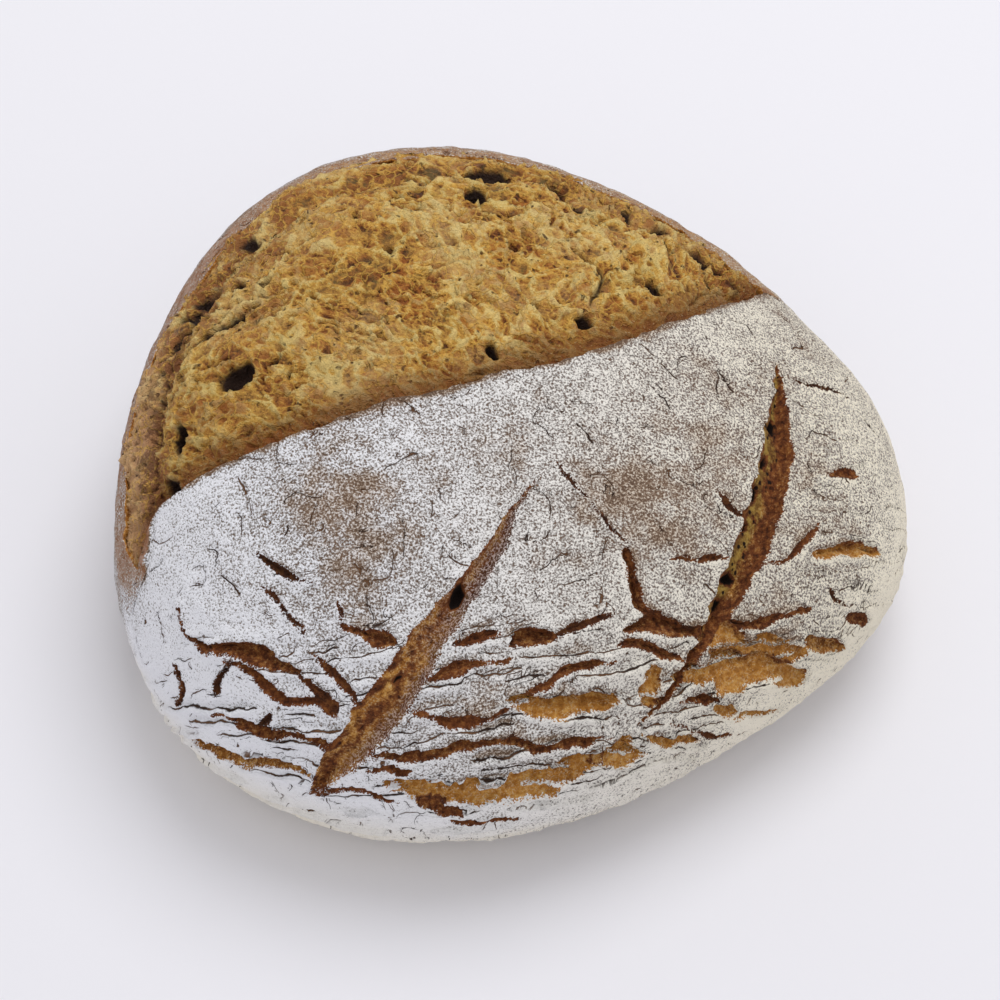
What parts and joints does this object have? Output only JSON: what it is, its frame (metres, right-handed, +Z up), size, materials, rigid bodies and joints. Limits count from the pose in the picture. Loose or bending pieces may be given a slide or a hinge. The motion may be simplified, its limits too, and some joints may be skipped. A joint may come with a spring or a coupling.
{
  "type": "round loaf",
  "caption": "Whole round country loaf with a floured crust, one long slash burst open into a wide rough bloom, two smaller slashes and torn crust between them.",
  "frame": {"origin": "middle of the loaf's box, on the table that its flat sole rests on", "axes": "+Z up out of the crust, +X to the right of the picture and +Y away from its camera"},
  "size_m": [0.224, 0.2188, 0.1068],
  "materials": {
    "crust": "baked brown crust under a coat of flour, with bare golden crumb where it burst"
  },
  "bodies": {
    "root": {"loaf": "crust"}
  },
  "joints": []
}
